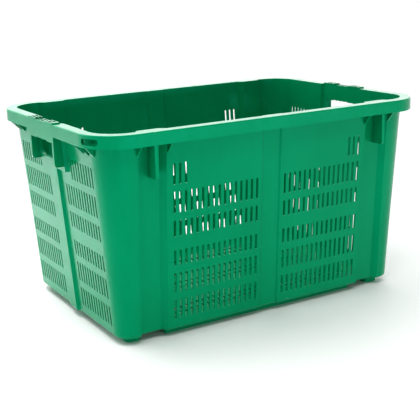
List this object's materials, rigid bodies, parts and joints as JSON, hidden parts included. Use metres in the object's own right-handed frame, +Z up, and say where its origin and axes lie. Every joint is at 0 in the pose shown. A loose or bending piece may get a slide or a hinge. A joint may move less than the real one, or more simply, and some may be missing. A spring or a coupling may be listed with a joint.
{
  "type": "stacking crate",
  "caption": "Open-topped vented plastic crate with tapered slotted walls, a broad rolled rim, hand holes in both ends and nest channels in the long sides.",
  "frame": {"origin": "middle of the crate's footprint, on the floor it stands on", "axes": "+X along the long side, towards one hand hole; +Y across the crate; +Z up, out of the open top"},
  "size_m": [0.62, 0.436, 0.34],
  "materials": {
    "green_plastic": "gloss"
  },
  "bodies": {
    "root": {"back_center_band": "green_plastic", "back_gussets_left": "green_plastic", "back_gussets_right": "green_plastic", "back_nest_channel_left": "green_plastic", "back_nest_channel_right": "green_plastic", "back_panel_left": "green_plastic", "back_panel_right": "green_plastic", "back_stacking_rib_left": "green_plastic", "back_stacking_rib_right": "green_plastic", "base_ribs": "green_plastic", "base_tray": "green_plastic", "corner_column_back_left": "green_plastic", "corner_column_back_right": "green_plastic", "corner_column_front_left": "green_plastic", "corner_column_front_right": "green_plastic", "corner_foot_back_left": "green_plastic", "corner_foot_back_right": "green_plastic", "corner_foot_front_left": "green_plastic", "corner_foot_front_right": "green_plastic", "foot_rail_back": "green_plastic", "foot_rail_front": "green_plastic", "front_center_band": "green_plastic", "front_gussets_left": "green_plastic", "front_gussets_right": "green_plastic", "front_nest_channel_left": "green_plastic", "front_nest_channel_right": "green_plastic", "front_panel_left": "green_plastic", "front_panel_right": "green_plastic", "front_stacking_rib_left": "green_plastic", "front_stacking_rib_right": "green_plastic", "left_cheek_plate_back": "green_plastic", "left_cheek_plate_front": "green_plastic", "left_end_gussets_back": "green_plastic", "left_end_gussets_front": "green_plastic", "left_end_panel_back": "green_plastic", "left_end_panel_front": "green_plastic", "left_end_rib": "green_plastic", "left_grip": "green_plastic", "left_hand_hole_frame": "green_plastic", "right_cheek_plate_back": "green_plastic", "right_cheek_plate_front": "green_plastic", "right_end_gussets_back": "green_plastic", "right_end_gussets_front": "green_plastic", "right_end_panel_back": "green_plastic", "right_end_panel_front": "green_plastic", "right_end_rib": "green_plastic", "right_grip": "green_plastic", "right_hand_hole_frame": "green_plastic", "rim_back": "green_plastic", "rim_corner_back_left": "green_plastic", "rim_corner_back_right": "green_plastic", "rim_corner_front_left": "green_plastic", "rim_corner_front_right": "green_plastic", "rim_front": "green_plastic", "rim_left_back": "green_plastic", "rim_left_front": "green_plastic", "rim_right_back": "green_plastic", "rim_right_front": "green_plastic"}
  },
  "joints": []
}
